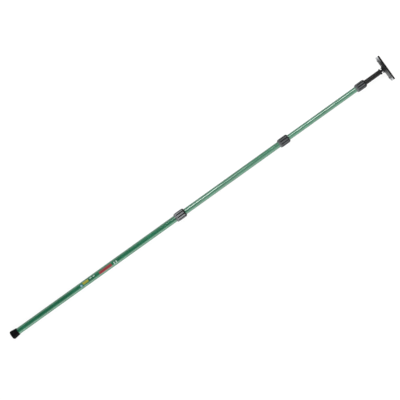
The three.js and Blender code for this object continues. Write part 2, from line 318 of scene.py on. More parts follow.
class Surface:
    """A principled material whose colour, roughness and relief come from patterns in the piece's
    own frame, in metres."""

    def __init__(self, name, **constants):
        self.material = bpy.data.materials.new(name)
        self.material.use_nodes = True
        self.nodes = self.material.node_tree.nodes
        self.links = self.material.node_tree.links
        self.shader = self.nodes["Principled BSDF"]
        self.place = self.add("ShaderNodeTexCoord").outputs["Object"]
        for socket, value in constants.items():
            self.shader.inputs[socket.replace("_", " ")].default_value = value

    def add(self, kind, inputs=None, **settings):
        node = self.nodes.new(kind)
        for name, value in settings.items():
            setattr(node, name, value)
        for socket, value in (inputs or {}).items():
            if isinstance(value, bpy.types.NodeSocket):
                self.links.new(value, node.inputs[socket])
            else:
                node.inputs[socket].default_value = value
        return node

    def scaled(self, x, y, z):
        """The piece's coordinates stretched along each axis."""
        vector = {"Vector": self.place, "Scale": (x, y, z)}
        return self.add("ShaderNodeMapping", vector).outputs["Vector"]

    def noise(self, scale, detail=3.0, rough=0.5, stretch=(1, 1, 1)):
        inputs = {
            "Vector": self.scaled(*stretch),
            "Scale": scale,
            "Detail": detail,
            "Roughness": rough,
        }
        return self.add("ShaderNodeTexNoise", inputs).outputs["Fac"]

    def cells(self, scale, stretch=(1, 1, 1)):
        inputs = {"Vector": self.scaled(*stretch), "Scale": scale}
        return self.add("ShaderNodeTexVoronoi", inputs).outputs["Distance"]

    def ramp(self, value, start, end, low=0.0, high=1.0):
        """A value mapped from start..end to low..high and held there."""
        inputs = {
            "Value": value,
            "From Min": start,
            "From Max": end,
            "To Min": low,
            "To Max": high,
        }
        return self.add("ShaderNodeMapRange", inputs).outputs["Result"]

    def math(self, operation, a, b):
        return self.add("ShaderNodeMath", {0: a, 1: b}, operation=operation).outputs[0]

    def mix(self, share, a, b):
        inputs = {"Factor": share, "A": a, "B": b}
        node = self.nodes.new("ShaderNodeMix")
        node.data_type = "RGBA"
        sockets = {s.name: s for s in node.inputs if s.enabled}
        for name, value in inputs.items():
            if isinstance(value, bpy.types.NodeSocket):
                self.links.new(value, sockets[name])
            else:
                sockets[name].default_value = value
        return next(s for s in node.outputs if s.enabled)

    def relief(self, height, depth_mm, before=None):
        inputs = {"Height": height, "Strength": 1.0, "Distance": depth_mm * MM}
        if before is not None:
            inputs["Normal"] = before
        return self.add("ShaderNodeBump", inputs).outputs["Normal"]

    def set(self, **sockets):
        for name, value in sockets.items():
            self.links.new(value, self.shader.inputs[name.replace("_", " ")])
        return self.material

    def along(self, axis):
        """The place along one axis, in metres."""
        return self.add("ShaderNodeSeparateXYZ", {"Vector": self.place}).outputs[axis]


def rgb(red, green, blue):
    """A colour given in display values from 0 to 255."""
    linear = []
    for value in (red, green, blue):
        v = value / 255
        linear.append(v / 12.92 if v <= 0.04045 else ((v + 0.055) / 1.055) ** 2.4)
    return (*linear, 1.0)


def tube_lacquer(name, base, pale, bare, rim_at, rough, **constants):
    """Lacquer on drawn tube: faint lengthwise streaks, fine scratches from sliding, and a rim
    worn to metal at the tube's end."""
    s = Surface(name, **constants)
    streaks = s.noise(1.0, 4.0, 0.6, (14, 900, 900))
    clouds = s.noise(26.0, 3.0)
    flake = s.noise(2600.0, 1.0)
    tint = s.mix(s.ramp(clouds, 0.35, 0.7), base, pale)
    tint = s.mix(s.ramp(streaks, 0.45, 0.75, 0.0, 0.35), tint, pale)
    tint = s.mix(s.ramp(flake, 0.62, 0.75, 0.0, 0.3), tint, pale)
    scratches = s.ramp(s.noise(1.0, 2.0, 0.5, (9, 2600, 2600)), 0.70, 0.74)
    scratches = s.math("MULTIPLY", scratches, s.ramp(s.noise(9.0, 2.0), 0.5, 0.62))
    worn = s.ramp(s.along("X"), (rim_at - 1.6) * MM, (rim_at - 0.3) * MM)
    worn = s.math("MULTIPLY", worn, s.ramp(s.noise(420.0, 3.0), 0.4, 0.55))
    marks = s.math("MAXIMUM", s.math("MULTIPLY", scratches, 0.15), worn)
    tint = s.mix(marks, tint, bare)
    gloss = s.ramp(clouds, 0.3, 0.7, rough - 0.03, rough + 0.05)
    gloss = s.math("ADD", gloss, s.math("MULTIPLY", marks, 0.15))
    normal = s.relief(streaks, 0.006)
    normal = s.relief(s.noise(700.0, 2.0), 0.004, normal)
    return s.set(Base_Color=tint, Roughness=gloss, Normal=normal)


def moulded(name, base, pale, grain_mm, depth_mm, rough, shine=0.3):
    """Moulded plastic or rubber: fine spark-eroded grain, slight mottling, high spots paled by
    rubbing.
    """
    s = Surface(name, IOR=1.48, Specular_IOR_Level=shine)
    grain = s.noise(1 / (grain_mm * MM), 3.0, 0.6)
    mottle = s.noise(60.0, 4.0)
    edge = s.add("ShaderNodeNewGeometry").outputs["Pointiness"]
    paler_share = s.math("MULTIPLY", s.ramp(edge, 0.505, 0.54), s.ramp(mottle, 0.35, 0.65))
    tint = s.mix(s.ramp(mottle, 0.3, 0.75), base, pale)
    tint = s.mix(s.math("MULTIPLY", paler_share, 0.5), tint, pale)
    tint = s.mix(s.ramp(grain, 0.55, 0.8, 0.0, 0.35), tint, pale)
    gloss = s.ramp(mottle, 0.3, 0.7, rough - 0.05, rough + 0.07)
    return s.set(Base_Color=tint, Roughness=gloss, Normal=s.relief(grain, depth_mm))


def grip(lock, ridge, groove):
    """Moulded plastic, paler on the ridges, partly worn there and partly painted light, and dark
    in the grooves between them as painted shade.
    """
    s = Surface(f"grip_{lock}", IOR=1.48, Specular_IOR_Level=0.12)
    corner = high(f"{lock}_twist_collar")
    r = max(corner.y, corner.z) * MM
    groove_shade_until, crest_from = r - 0.65 * MM, r - 0.03 * MM
    across = s.scaled(0, 1, 1)
    reach = s.add("ShaderNodeVectorMath", {0: across}, operation="LENGTH").outputs["Value"]
    mottle = s.noise(60.0, 4.0)
    grain = s.noise(2900.0, 3.0, 0.6)
    # Deep in each groove the groove colour is painted shade; near the crest the ridge colour takes
    # over.
    raised = s.ramp(reach, groove_shade_until, crest_from)
    paler_share = s.math("MULTIPLY", raised, s.ramp(mottle, 0.35, 0.65, 0.75, 1.0))
    paler_share = s.math("MULTIPLY", paler_share, s.ramp(grain, 0.2, 0.5, 0.8, 1.0))
    tint = s.mix(paler_share, groove, ridge)
    gloss = s.ramp(mottle, 0.3, 0.7, 0.45, 0.58)
    return s.set(Base_Color=tint, Roughness=gloss, Normal=s.relief(grain, 0.06))


def metal(name, base, pale, rough):
    """Bare or plated metal with a fine grain and a little tarnish."""
    s = Surface(name, Metallic=1.0)
    brush = s.noise(900.0, 3.0, 0.6)
    tarnish = s.noise(110.0, 4.0)
    tint = s.mix(s.ramp(tarnish, 0.35, 0.7), base, pale)
    tint = s.mix(s.ramp(brush, 0.4, 0.8, 0.0, 0.4), tint, pale)
    gloss = s.ramp(brush, 0.3, 0.7, rough - 0.06, rough + 0.06)
    gloss = s.math("ADD", gloss, s.ramp(tarnish, 0.4, 0.7, 0.0, 0.08))
    return s.set(Base_Color=tint, Roughness=gloss, Normal=s.relief(brush, 0.01))


def powder_coat(name, base, pale, rough):
    """Dark powder coat or casting skin: an even orange-peel relief, chipped grey on the sharpest
    edges."""
    s = Surface(name, Specular_IOR_Level=0.12)
    peel = s.noise(1500.0, 2.0, 0.5)
    patches = s.noise(130.0, 3.0)
    edge = s.add("ShaderNodeNewGeometry").outputs["Pointiness"]
    chips = s.math("MULTIPLY", s.ramp(edge, 0.53, 0.58), s.ramp(patches, 0.55, 0.65))
    tint = s.mix(s.ramp(patches, 0.3, 0.7), base, pale)
    tint = s.mix(chips, tint, rgb(84, 86, 88))
    gloss = s.ramp(peel, 0.3, 0.7, rough - 0.05, rough + 0.08)
    return s.set(Base_Color=tint, Roughness=gloss, Normal=s.relief(peel, 0.02))


def coat_with_painted_reflection(name, base, bare, ends_at):
    """Black coat over aluminium with painted reflection of the white floor on its back: paler from
    25 mm out on the +Y side and evenly on the -Y side, the dark stretch between them painted
    shade, and bare beyond ends_at, in mm."""
    s = Surface(name, Specular_IOR_Level=0.12)
    y = s.along("Y")
    mirrored = s.math("MULTIPLY", y, -1.0)
    # Painted reflection of the white floor: paler from 25 mm out on +Y and in two steps on -Y; the
    # dark stretch left between them is painted shade.
    left = s.math("POWER", s.ramp(y, 0.025, 0.057), 1.7)
    right = s.ramp(mirrored, 0.003, 0.024, 0.0, 0.26)
    right = s.math("ADD", right, s.ramp(mirrored, 0.040, 0.058, 0.0, 0.3))
    outward = s.math("MAXIMUM", y, mirrored)
    ends = s.ramp(outward, (ends_at - 1) * MM, (ends_at + 1) * MM)
    # The painted reflection and the bare ends together, broken up in patches; the bare colour also
    # serves as the painted reflection.
    paler_share = s.math("MAXIMUM", s.math("MAXIMUM", left, right), ends)
    patches = s.noise(180.0, 4.0, 0.6, (1, 0.4, 1))
    paler_share = s.math("MULTIPLY", paler_share, s.ramp(patches, 0.3, 0.6, 0.7, 1.0))
    peel = s.noise(1500.0, 2.0, 0.5)
    tint = s.mix(paler_share, base, bare)
    tint = s.mix(s.ramp(peel, 0.5, 0.8, 0.0, 0.15), tint, bare)
    gloss = s.ramp(patches, 0.3, 0.7, 0.45, 0.6)
    return s.set(Base_Color=tint, Roughness=gloss, Normal=s.relief(peel, 0.02))


def open_foam(name, base, pale):
    """Dark closed-cell foam: small cells, their walls lighter than their floors."""
    s = Surface(name, Roughness=0.95, Specular_IOR_Level=0.1)
    cells = s.cells(1100.0)
    big = s.cells(420.0)
    tint = s.mix(s.ramp(cells, 0.1, 0.6), base, pale)
    tint = s.mix(s.ramp(s.noise(45.0, 3.0), 0.4, 0.7, 0.0, 0.4), tint, pale)
    normal = s.relief(s.math("ADD", cells, big), 0.25)
    return s.set(Base_Color=tint, Normal=normal)


def hook_cloth(name, base, pale):
    """Woven backing with rows of small hooks."""
    s = Surface(name, Roughness=0.9, Sheen_Weight=0.3)
    rows = s.add("ShaderNodeTexWave", {"Vector": s.place, "Scale": 330.0}, bands_direction="Z")
    hooks = s.cells(900.0, stretch=(1, 1, 1.6))
    height = s.math("MULTIPLY", rows.outputs["Fac"], s.ramp(hooks, 0.0, 0.5, 1.0, 0.0))
    tint = s.mix(height, base, pale)
    return s.set(Base_Color=tint, Normal=s.relief(height, 0.3))


def grit(name):
    """Abrasive grain in resin: brown-grey with paler and darker grains and loaded patches."""
    s = Surface(name, IOR=1.55)
    grains = s.cells(2100.0)
    colour = s.add("ShaderNodeTexVoronoi", {"Vector": s.place, "Scale": 2100.0}).outputs["Color"]
    each = s.add("ShaderNodeSeparateColor", {"Color": colour}).outputs["Red"]
    tint = s.mix(each, rgb(58, 50, 42), rgb(124, 108, 90))
    tint = s.mix(s.ramp(each, 0.9, 0.95), tint, rgb(176, 166, 150))
    dusty = s.ramp(s.noise(34.0, 5.0, 0.6), 0.55, 0.75, 0.0, 0.3)
    tint = s.mix(dusty, tint, rgb(190, 184, 174))
    gloss = s.ramp(each, 0.0, 1.0, 0.55, 0.95)
    return s.set(Base_Color=tint, Roughness=gloss, Normal=s.relief(grains, 0.25))


def print_ink(name, base, worn):
    """Printed film: flat ink with scuffs down to a paler tone and a faint screen grain."""
    s = Surface(name, Coat_Weight=0.3, Coat_Roughness=0.2)
    scuffs = s.ramp(s.noise(1.0, 4.0, 0.6, (120, 800, 800)), 0.56, 0.72, 0.0, 0.6)
    screen = s.ramp(s.noise(1900.0, 1.0), 0.35, 0.7, 0.0, 0.25)
    tint = s.mix(scuffs, base, worn)
    tint = s.mix(screen, tint, worn)
    gloss = s.ramp(scuffs, 0.0, 0.6, 0.35, 0.6)
    return s.set(Base_Color=tint, Roughness=gloss, Normal=s.relief(scuffs, 0.01))


GREEN = rgb(20, 84, 57)
GREEN_PALE = rgb(28, 97, 69)
BARE_METAL = rgb(176, 180, 182)
GREY = rgb(62, 64, 67)
GREY_PALE = rgb(92, 94, 97)

MATERIALS = {
    "grip_plastic": moulded("grip_plastic", GREY, GREY_PALE, 0.35, 0.06, 0.5),
    "inner_plastic": moulded(
        "inner_plastic", rgb(178, 178, 170), rgb(200, 200, 193), 0.5, 0.03, 0.42
    ),
    "foot_rubber": moulded(
        "foot_rubber", rgb(1, 1, 2), rgb(4, 4, 5), 0.3, 0.05, 0.5, shine=0.05
    ),
    "black_fittings": powder_coat("black_fittings", rgb(6, 6, 7), rgb(12, 12, 13), 0.42),
    "pin_steel": metal("pin_steel", rgb(50, 51, 53), rgb(74, 75, 78), 0.36),
    # The plate's back carries painted floor reflection and painted shade, and bare ends.
    "head_plate": coat_with_painted_reflection("head_plate", rgb(14, 14, 15), rgb(172, 174, 176), 49),
    "foam": open_foam("foam", rgb(9, 9, 10), rgb(24, 24, 26)),
    "hook_fabric": hook_cloth("hook_fabric", rgb(16, 16, 17), rgb(44, 44, 47)),
    "abrasive": grit("abrasive"),
}


def place_piece(obj, node, slot, material=None):
    """Puts a fine piece in the place of its CAD node."""
    obj.data.materials.append(material or MATERIALS[slot])
    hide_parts(node)
    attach(obj, BODY_OF[node])
    return obj


# ------------------------------------------------------------------ foot


def make_foot_cap():
    length, end_r = high("foot_cap").x, radius("foot_cap")
    bore = radius("lower_tube") + FIT
    floor = low("foot_plug").x - FIT
    deep, high_r = FOOT_ROUND
    edge = []
    for k in range(9):
        a = math.pi / 2 * k / 8
        edge.append((deep * (1 - math.cos(a)), end_r - high_r * (1 - math.sin(a))))
    face = []
    for r in END_RINGS:
        face.append((0, r, 0.2))
        face.append((RING_DEPTH, r + 0.4, 0.2))
        face.append((RING_DEPTH, r + 2.0, 0.2))
        face.append((0, r + 2.4, 0.2))
    corners = [
        (0, 0),
        *face,
        *edge,
        (deep + 2.5, end_r - 0.1, 1.0),
        (length - 4.6, bore + 1.5, 1.2),
        (length - 3.8, bore + 1.6, 0.5),
        (length - 1.0, bore + 1.3, 0.9),
        (length, bore + 0.6, 0.4),
        (length, bore, 0.2),
        (floor, bore, 0.5),
        (floor, 0),
    ]

    def seam(x, r, angle):
        """A parting line stands a little proud on two sides of the moulding."""
        if x < 3 or x > length - 0.5 or r < bore + 0.5:
            return r
        off = abs(math.sin(angle)) * r
        return r + SEAM_HEIGHT * smooth_step(1 - off / 0.7)

    return finished("foot_cap_moulding", turned(rounded(corners), 240, seam))


def make_foot_plug():
    start, end, r = low("foot_plug").x, high("foot_plug").x, radius("foot_plug")
    corners = [
        (start, 0),
        (start, r, 0.4),
        (start + 8, r, 0.2),
        (start + 8.6, r - 0.5, 0.2),
        (start + 10, r - 0.5, 0.2),
        (start + 10.6, r, 0.2),
        (end, r, 1.2),
        (end, r - 3.5, 0.4),
        (start + 6, r - 3.5, 0.6),
        (start + 6, 0),
    ]
    return finished("foot_plug_moulding", turned(rounded(corners)))


# ------------------------------------------------------------------ tubes


def make_tube(node):
    start, end, r = low(node).x, high(node).x, radius(node)
    corners = [
        (start, r - WALL, 0.3),
        (start, r, 0.3),
        (end, r, 0.4),
        (end, r - WALL, 0.3),
    ]
    return finished(f"{node}_drawn", turned(rounded(corners, 4), 128))


def make_guide_bush(node, tube):
    start, end = low(node).x, high(node).x
    stem = radius(tube) - WALL - FIT
    run = radius(node)
    shoulder = low(tube).x - FIT
    corners = [
        (start, stem - 2, 0.3),
        (start, run - 0.8, 0.2),
        (start + 0.8, run, 0.3),
        (start + 3, run, 0.1),
        (start + 3.4, run - 0.5, 0.1),
        (start + 5, run - 0.5, 0.1),
        (start + 5.4, run, 0.1),
        (shoulder, run, 0.3),
        (shoulder, stem, 0.1),
        (end, stem, 0.6),
        (end, stem - 2, 0.3),
    ]
    return finished(f"{node}_moulding", turned(rounded(corners)))


# ------------------------------------------------------------------ twist-locks


def make_lock_body(lock, outer, inner):
    """The flange that shows behind the collar, and the sleeve inside it."""
    node = f"{lock}_lock_body"
    at, end, r = low(node).x, high(node).x, radius(node)
    bore = radius(outer) + FIT
    neck = radius(inner) + FIT
    sleeve = bore + SLEEVE_WALL
    stop = at + TUBE_IN_LOCK + FIT
    corners = [
        (at, bore, 0.3),
        (at, r - 1.8, 0.9),
        (at + 1.9, r, 0.9),
        (at + LOCK_FLANGE, r, 0.4),
        (at + LOCK_FLANGE, sleeve, 0.2),
        (end, sleeve, 0.3),
        (end, neck, 0.3),
        (stop, neck, 0.2),
        (stop, bore, 0.2),
    ]
    return finished(f"{lock}_lock_flange", turned(rounded(corners), 128))


def make_collet(lock, outer, inner):
    node = f"{lock}_collet"
    start, end = low(node).x, high(node).x
    bore = radius(inner) + FIT
    thick = radius(outer) + FIT + SLEEVE_WALL
    thin = radius(inner) + COLLET_NOSE_WALL
    corners = [
        (start, bore, 0.2),
        (start, thick, 0.3),
        (start + 2, thick, 0.6),
        (end, thin, 0.3),
        (end, bore, 0.2),
    ]
    slit = math.asin(COLLET_SLIT / bore)
    body = turned(rounded(corners), 90, arc=(slit, 2 * math.pi - slit))
    return finished(f"{lock}_collet_ring", body)


def make_collar(lock, outer, inner, turn):
    """The turning grip: ten rounded lobes between a plain rear rim and a coned nose."""
    node = f"{lock}_twist_collar"
    start, end = low(node).x, high(node).x
    r = max(high(node).z, high(node).y, -low(node).y)
    sleeve = radius(outer) + 2 * FIT + SLEEVE_WALL
    thin = radius(inner) + COLLET_NOSE_WALL + FIT
    front = radius(inner) + 2 * FIT
    collet_end = high(f"{lock}_collet").x + FIT
    taper = low(f"{lock}_collet").x + 2 + FIT
    nose = end - GRIP_NOSE
    length = nose - start - GRIP_REAR
    ridges = [(start + GRIP_REAR + length * k / 30, r) for k in range(30)]
    corners = [
        (start, sleeve, 0.3),
        (start, r, 0.9),
        *ridges,
        (nose, r, 2.0),
        (end - 3.2, r - 1.4, 1.4),
        (end - 0.9, r - 3.4, 0.8),
        (end, r - 4.5, 0.4),
        (end, front, 0.3),
        (collet_end, front, 0.2),
        (collet_end, thin, 0.2),
        (taper, sleeve, 0.4),
    ]

    def lobes(x, at, angle):
        if at < r - 3.0 or x < start + 1 or x > end - 1:
            return at
        reach = smooth_step((x - start - 3.0) / 3.0) * smooth_step((end - 4.0 - x) / 3.5)
        period = 2 * math.pi / GRIP_RIDGES
        off = (angle - math.radians(turn) + period / 2) % period - period / 2
        across = min(1.0, abs(off) * r / GROOVE_HALF)
        groove = math.cos(across * math.pi / 2) ** 2
        crown = GRIP_CROWN * math.cos(off / period * 2 * math.pi)
        return at - reach * (GRIP_DEPTH * groove + crown)

    body = turned(rounded(corners), 24 * GRIP_RIDGES, lobes)
    return finished(f"{lock}_twist_grip", body)


# ------------------------------------------------------------------ head pivot

YAW_X = (low("yaw_pin").x + high("yaw_pin").x) / 2
PITCH_X = YAW_X + YAW_TO_PITCH


def make_tip_end_plug():
    """Stem and flange turned in one, with two round-ended ears crowned about the pole's axis."""
    node = "tip_end_plug"
    start = low(node).x - YAW_X
    stem = radius("tip_tube") - WALL - FIT
    rim = radius(node)
    front = -YAW_TO_FLANGE
    back = front - FLANGE_THICK
    body = turned(
        rounded(
            [
                (start, 0),
                (start, stem, 1.0),
                (back, stem, 0.1),
                (back, rim, 0.5),
                (front, rim, 0.9),
                (front, 0),
            ]
        )
    )
    round_end = circle((0, 0), FORK_HALF, -90, 90, 24)
    ear = [(front - 1, -FORK_HALF), *round_end, (front - 1, FORK_HALF)]
    for side in (-1, 1):
        near, far = sorted((side * FORK_INNER, side * FORK_OUTER))
        crown = prism(circle((0, 0), CROWN_R, steps=96), "x", front - 2, FORK_HALF + 1)
        arm = joined(prism(ear, "z", near, far), crown, "INTERSECT")
        body = joined(body, softened(arm, 0.4, 3))
    body = cut(body, prism(circle((0, 0), PIN_HOLE_R), "z", -CROWN_R, CROWN_R))
    return finished("tip_fork", moved(body, YAW_X))


def make_pin(name, axis, reach, x):
    """A headed pin through a fork or cheeks of half width reach, grooved for its clip."""
    near, far = CLIP_SLOT
    corners = [
        (-reach - PIN_TAIL, 0),
        (-reach - PIN_TAIL, PIN_R, 0.4),
        (-reach - far, PIN_R, 0.1),
        (-reach - far, PIN_R - 0.5, 0.1),
        (-reach - near, PIN_R - 0.5, 0.1),
        (-reach - near, PIN_R, 0.1),
        (reach + 0.2, PIN_R, 0.1),
        (reach + 0.2, PIN_HEAD_R, 0.2),
        (reach + 0.75, PIN_HEAD_R, 0.5),
        (reach + 1.5, PIN_HEAD_R * 0.55, 0.9),
        (reach + 1.6, 0),
    ]
    return finished(name, moved(aimed(turned(rounded(corners), 48), axis), x))


def make_clip(name, axis, reach, x):
    """An open ring in the pin's groove."""
    near, far = CLIP_SLOT
    inner = PIN_R - 0.35
    corners = [
        (-reach - (far - 0.1), inner, 0.1),
        (-reach - (far - 0.1), PIN_HEAD_R, 0.15),
        (-reach - (near + 0.1), PIN_HEAD_R, 0.15),
        (-reach - (near + 0.1), inner, 0.1),
    ]
    opening = 0.5
    arc = (-math.pi / 2 + opening, 1.5 * math.pi - opening)
    body = turned(rounded(corners, 3), 40, arc=arc)
    return finished(name, moved(aimed(body, axis), x))


def make_swivel_block():
    """A tongue on the yaw pin that grows into the cross barrel on the pitch pin."""
    half_z = FORK_INNER - FIT
    half_y = CHEEK_INNER - FIT
    tongue_r = FORK_HALF - 0.2
    pitch = YAW_TO_PITCH
    tongue = circle((0, 0), tongue_r, 90, 270, 24)
    tongue = [(pitch - 2.2, tongue_r), *tongue, (pitch - 2.2, -tongue_r)]
    body = softened(prism(tongue, "z", -BARREL_R + 0.2, BARREL_R - 0.2), 0.3)
    boss = softened(prism(circle((0, 0), tongue_r - 0.3), "z", -half_z, half_z), 0.3)
    barrel = softened(prism(circle((pitch, 0), BARREL_R), "y", -half_y, half_y), 0.3)
    body = joined(joined(body, boss), barrel)
    body = cut(body, prism(circle((0, 0), PIN_HOLE_R), "z", -9, 9))
    body = cut(body, prism(circle((pitch, 0), PIN_HOLE_R), "y", -9, 9))
    return finished("swivel_casting", moved(body, YAW_X))


# ------------------------------------------------------------------ head

SCREW_Y = high("bracket_screw_1").y - SCREW_HEAD_R
SCREW_Z = high("bracket_screw_1").z - SCREW_HEAD_R
SCREW_PLACES = [(1, 1), (-1, 1), (-1, -1), (1, -1)]
PLATE_BACK = low("backing_plate").x
BRACKET_BACK = PLATE_BACK - STACK_GAP - BRACKET_THICK


def with_screw_holes(body):
    for side_y, side_z in SCREW_PLACES:
        hole = prism(circle((side_y * SCREW_Y, side_z * SCREW_Z), SCREW_HOLE_R), "x", -9, 9)
        body = cut(body, hole)
    return body


def make_head_bracket():
    """A flat bracket with a conical hub, flat above and below, split by the pivot's slot."""
    node = "head_bracket"
    half_y, half_z = high(node).y, high(node).z
    start = low(node).x - BRACKET_BACK
    pitch = PITCH_X - BRACKET_BACK
    body = prism(rounded_box(half_y, half_z, 5.0), "x", 0, BRACKET_THICK)
    body = softened(with_screw_holes(body), 0.35)
    cone = [
        (start, 0),
        (start, 8.2, 0.6),
        (start + 1.2, 10.4, 1.2),
        (start + 5.0, 13.2, 2.5),
        (1.0, 16.6),
        (1.0, 0),
    ]
    hub = turned(rounded(cone), 96)
    flats = prism(rounded_box(30, CHEEK_HALF_Z, 0.5), "x", start - 1, 2)
    hub = joined(hub, flats, "INTERSECT")
    hub = cut(hub, prism(rounded_box(CHEEK_INNER, 30, 0.5), "x", start - 1, 2))
    hub = softened(hub, 0.4)
    for side in (-1, 1):
        near, far = sorted((side * CHEEK_OUTER, side * 20))
        hub = cut(hub, prism(circle((pitch, 0), SPOT_R), "y", near, far))
    body = joined(body, hub)
    body = cut(body, prism(rounded_box(CHEEK_INNER, 14.0, 1.0), "x", -5, 9))
    body = cut(body, prism(circle((pitch, 0), PIN_HOLE_R), "y", -20, 20))
    return finished("head_bracket_casting", moved(body, BRACKET_BACK))


def make_screw(index, side_y, side_z):
    """Pan head with a cross recess, seen on the bracket's back."""
    node = f"bracket_screw_{index}"
    top, tip = low(node).x, high(node).x
    seat = top + SCREW_HEAD
    body = turned(
        rounded(
            [
                (0, 0),
                (0, 2.6, 0.8),
                (0.9, 3.6, 0.5),
                (seat - top, SCREW_HEAD_R, 0.2),
                (seat - top, SCREW_SHANK_R, 0.1),
                (tip - top, SCREW_SHANK_R, 0.3),
                (tip - top, 0),
            ]
        ),
        64,
    )
    for half_y, half_z in ((1.7, 0.42), (0.42, 1.7)):
        body = cut(body, prism(rounded_box(half_y, half_z, 0.3, 3), "x", -1, 0.9))
    body = moved(body, top, side_y * SCREW_Y, side_z * SCREW_Z)
    return finished(f"{node}_pan_head", body)


def make_backing_plate():
    node = "backing_plate"
    half_y, half_z = high(node).y, high(node).z
    thick = high(node).x - low(node).x
    body = prism(rounded_box(half_y, half_z, HEAD_CORNER), "x", 0, thick)
    body = softened(with_screw_holes(body), 0.3)
    return finished("backing_plate_sheet", moved(body, low(node).x))


def layered_pad(node, layers, cells_y, cells_z, texture=None):
    """A flat pad as a grid-faced block. layers are (share of thickness, inset) of its side wall,
    and texture(y, z) lifts the front face."""
    start, end = low(node).x, high(node).x
    half_y, half_z = high(node).y, high(node).z
    corner = HEAD_CORNER

    def outline(inset):
        points = []
        for i in range(cells_y):
            points.append((-1 + 2 * i / cells_y, -1))
        for i in range(cells_z):
            points.append((1, -1 + 2 * i / cells_z))
        for i in range(cells_y):
            points.append((1 - 2 * i / cells_y, 1))
        for i in range(cells_z):
            points.append((-1, 1 - 2 * i / cells_z))
        return [grid_point(a, b, inset) for a, b in points]

    def grid_point(a, b, inset):
        """A place on the face from -1..1 each way, drawn in at the rounded corners."""
        y, z = a * (half_y - inset), b * (half_z - inset)
        over_y = abs(y) - (half_y - inset - corner)
        over_z = abs(z) - (half_z - inset - corner)
        if over_y > 0 and over_z > 0:
            reach = max(over_y, over_z)
            length = math.hypot(over_y, over_z)
            y = math.copysign(half_y - inset - corner + over_y * reach / length, y)
            z = math.copysign(half_z - inset - corner + over_z * reach / length, z)
        return y, z

    bm = bmesh.new()
    rings = []
    for share, inset in layers:
        x = start + (end - start) * share
        rings.append([bm.verts.new((x, y, z)) for y, z in outline(inset)])
    count = len(rings[0])
    for here, after in zip(rings, rings[1:]):
        for i in range(count):
            j = (i + 1) % count
            bm.faces.new((here[i], here[j], after[j], after[i]))
    for ring, x, inset, front in (
        (rings[0], start, layers[0][1], False),
        (rings[-1], end, layers[-1][1], True),
    ):
        grid = {}
        for i in range(1, cells_y):
            for j in range(1, cells_z):
                y, z = grid_point(-1 + 2 * i / cells_y, -1 + 2 * j / cells_z, inset)
                lift = texture(y, z) if front and texture else 0.0
                grid[i, j] = bm.verts.new((x + lift, y, z))
        for i in range(cells_y):
            grid[i, 0] = ring[i]
            grid[cells_y - i, cells_z] = ring[cells_y + cells_z + i]
        for j in range(cells_z):
            grid[cells_y, j] = ring[cells_y + j]
            grid[0, cells_z - j] = ring[2 * cells_y + cells_z + j]
        for i in range(cells_y):
            for j in range(cells_z):
                quad = (grid[i, j], grid[i + 1, j], grid[i + 1, j + 1], grid[i, j + 1])
                bm.faces.new(quad)
    return bm


def make_foam_pad():
    """A block whose walls bulge near both faces and draw in between them, a little unevenly."""
    wall_y, wall_z = 57, 28
    layers = [(0, 0.5), (0.05, 0.15), (0.15, 0.0), (0.3, 0.35), (0.5, 0.55), (0.7, 0.35)]
    layers += [(0.85, 0.0), (0.95, 0.15), (1, 0.5)]
    body = layered_pad("foam_pad", layers, 96, 50)
    for v in body.verts:
        wave = noise.noise(v.co * 0.45) * 0.12
        v.co.y -= math.copysign(abs(wave), v.co.y) if abs(v.co.y) > wall_y else 0.0
        v.co.z -= math.copysign(abs(wave), v.co.z) if abs(v.co.z) > wall_z else 0.0
    return finished("foam_pad_block", body, 60)


def make_hook_layer():
    layers = [(0, 0.15), (0.2, 0.0), (0.8, 0.0), (1, 0.15)]
    return finished("hook_layer_cloth", layered_pad("hook_layer", layers, 58, 29), 60)


def make_abrasive():
    """The grit side is uneven by a few hundredths, sunk into the sheet so that it stays flat."""

    def grains(y, z):
        return -0.09 + 0.09 * noise.noise(Vector((y, z, 3.0)) * 1.9)

    layers = [(0, 0.12), (0.2, 0.0), (0.75, 0.0), (1, 0.2)]
    body = layered_pad("abrasive_sheet", layers, 170, 86, grains)
    return finished("abrasive_sheet_grit", body, 60)


# ------------------------------------------------------------------ printed marks on the pole


def make_patch(name, start, end, first, last, corner, material):
    """A rounded rectangle of printed film wrapped on the lower tube: places along the pole in
    mm, angles round it in degrees."""
    r = radius("lower_tube")
    half_x = (end - start) / 2
    half_arc = math.radians(last - first) / 2 * r
    middle = math.radians(first + last) / 2
    flat = prism(rounded_box(half_x, half_arc, corner), "z", *INK_FILM)
    bmesh.ops.triangulate(flat, faces=flat.faces)
    steps = int(half_arc / 0.6) + 1
    for k in range(-steps + 1, steps):
        at = k * half_arc / steps
        geometry = [*flat.verts, *flat.edges, *flat.faces]
        bmesh.ops.bisect_plane(flat, geom=geometry, plane_co=(0, at, 0), plane_no=(0, 1, 0))
    for v in flat.verts:
        angle = middle - v.co.y / r
        reach = r + v.co.z
        x = (start + end) / 2 + v.co.x
        v.co = (x, -reach * math.sin(angle), reach * math.cos(angle))
    obj = finished(name, flat, 60)
    obj.data.materials.append(material)
    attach(obj, BODY_OF["lower_tube"])


def make_marks():
    """Plain coloured patches where the pole carries its printed label."""
    yellow = print_ink("ink_yellow", rgb(136, 132, 26), rgb(92, 116, 56))
    red = print_ink("ink_red", rgb(122, 24, 34), rgb(72, 52, 46))
    white = print_ink("ink_white", rgb(140, 164, 152), rgb(92, 132, 112))
    blue = print_ink("ink_blue", rgb(112, 146, 164), rgb(84, 124, 122))
    for name, start, end, first, last, corner, ink in (
        ("mark_dot", 354.0, 364.0, -22, 18, 4.6, blue),
        ("mark_yellow", 368.0, 396.0, -36, 6, 1.6, yellow),
        ("mark_dash_1", 403.0, 414.0, -30, -12, 1.0, white),
        ("mark_dash_2", 419.0, 429.0, -28, -10, 1.0, white),
        ("mark_red", 449.5, 513.0, -26, 29, 1.4, red),
        ("mark_bar_1", 523.0, 528.0, -16, 30, 0.9, white),
        ("mark_bar_2", 533.0, 538.5, -16, 30, 0.9, white),
    ):
        make_patch(name, start, end, first, last, corner, ink)


# ------------------------------------------------------------------ assembly

